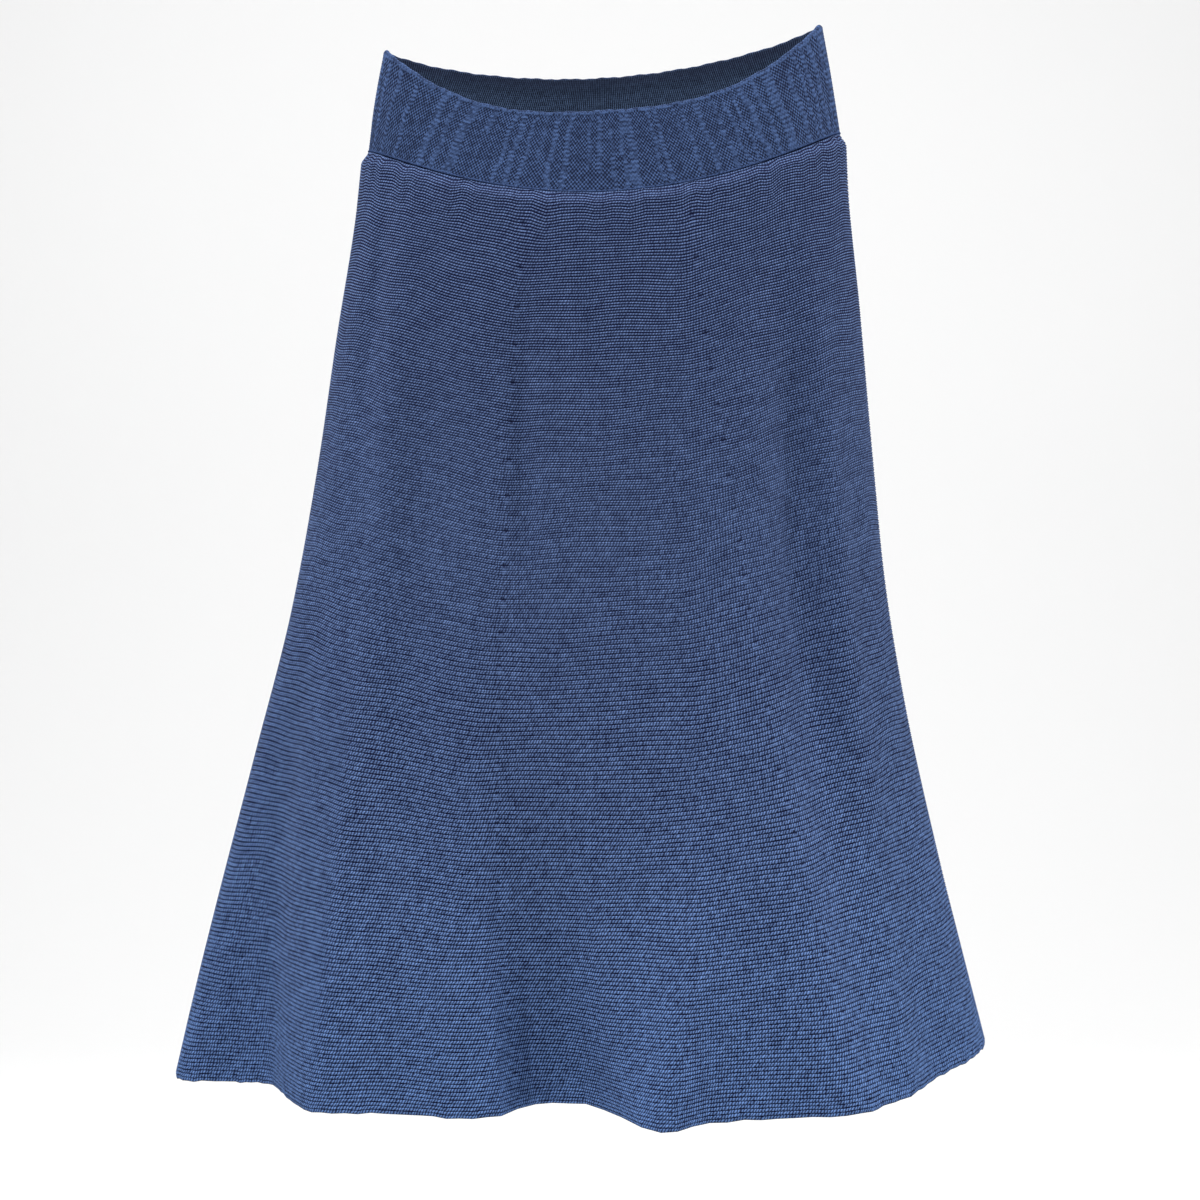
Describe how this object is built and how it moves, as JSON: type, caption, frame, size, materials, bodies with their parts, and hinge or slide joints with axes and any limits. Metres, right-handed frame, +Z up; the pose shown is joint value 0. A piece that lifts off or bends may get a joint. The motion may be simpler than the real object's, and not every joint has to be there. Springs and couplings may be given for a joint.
{
  "type": "knit midi skirt",
  "caption": "A-line midi skirt in a thick blue purl knit, hollow and filled out, with a doubled elastic waistband and a softly folded hem.",
  "frame": {"origin": "the middle of the waist ring: half way between the two side corners, between front and back, at the ring's mean height", "axes": "+Z up, +Y to the back of the skirt, +X to the wearer's left, which is right as seen from in front"},
  "size_m": [0.624, 0.3198, 0.8097],
  "materials": {
    "body_knit": "thick purl knit in smooth mid-blue yarn, matt, with fine level ridges",
    "band_knit": "doubled knit over elastic, matt, with uneven upright columns of smooth and broken stitches"
  },
  "bodies": {
    "root": {"front_panel": "body_knit", "back_panel": "body_knit", "waistband_front": "band_knit", "waistband_back": "band_knit"}
  },
  "joints": []
}
